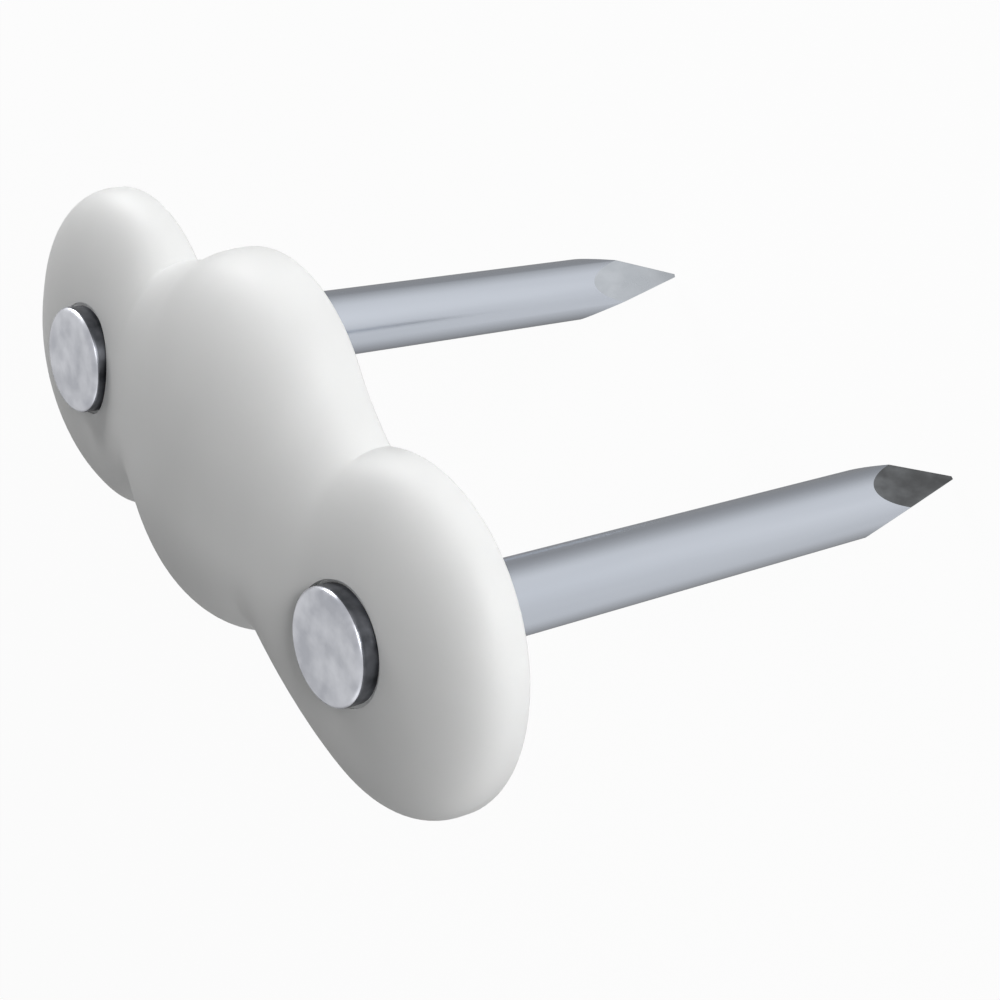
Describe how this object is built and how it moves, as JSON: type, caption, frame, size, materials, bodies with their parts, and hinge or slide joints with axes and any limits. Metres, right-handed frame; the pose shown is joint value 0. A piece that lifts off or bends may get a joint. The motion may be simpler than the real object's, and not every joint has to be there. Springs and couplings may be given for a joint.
{
  "type": "nail-in cable clip",
  "caption": "Cable clip: a white plastic saddle of three domed lobes in a row, with a steel nail through each end lobe that fixes it over a cable.",
  "frame": {"origin": "on the flat base of the plastic body, midway between the two nails", "axes": "+X along the line of the nails, +Z out of the wall towards the nail heads, so the nails point along -Z, and +Y across the body, along the cable"},
  "size_m": [0.0256, 0.0119, 0.0267],
  "materials": {
    "clip_plastic": "satin moulded white polyethylene",
    "nail_steel": "bright zinc-plated drawn wire"
  },
  "bodies": {
    "root": {"clip_body": "clip_plastic", "left_nail": "nail_steel", "right_nail": "nail_steel"}
  },
  "joints": []
}
